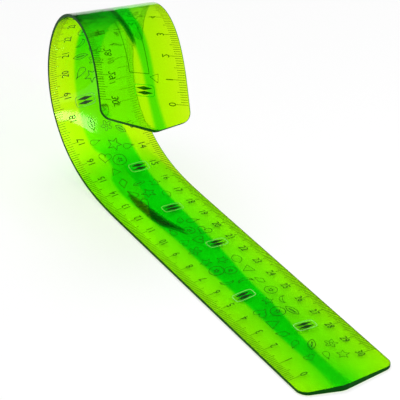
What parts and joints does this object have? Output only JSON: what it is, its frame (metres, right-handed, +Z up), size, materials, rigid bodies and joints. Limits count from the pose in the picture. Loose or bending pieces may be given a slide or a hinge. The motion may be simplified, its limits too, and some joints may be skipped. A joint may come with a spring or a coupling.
{
  "type": "flexible ruler",
  "caption": "Flexible clear plastic ruler with bevelled edges, pointed ends and two opposed centimetre scales, lying flat with its far end rolled up and over.",
  "frame": {"origin": "on the surface that the ruler lies on, under the middle of its bounding box", "axes": "+X along the flat stretch, from the near end towards the curl; +Y across it, to the left when looking along +X; +Z up, off the printed face of the flat stretch"},
  "size_m": [0.1928, 0.0546, 0.0844],
  "materials": {
    "clear_soft_plastic": "glossy translucent lime green",
    "scale_ink": "thin dark screen print",
    "pale_ink": "thin pale mint screen print"
  },
  "bodies": {
    "root": {"ruler_strip": "clear_soft_plastic", "left_scale_graduations": "scale_ink", "right_scale_graduations": "scale_ink"}
  },
  "joints": []
}
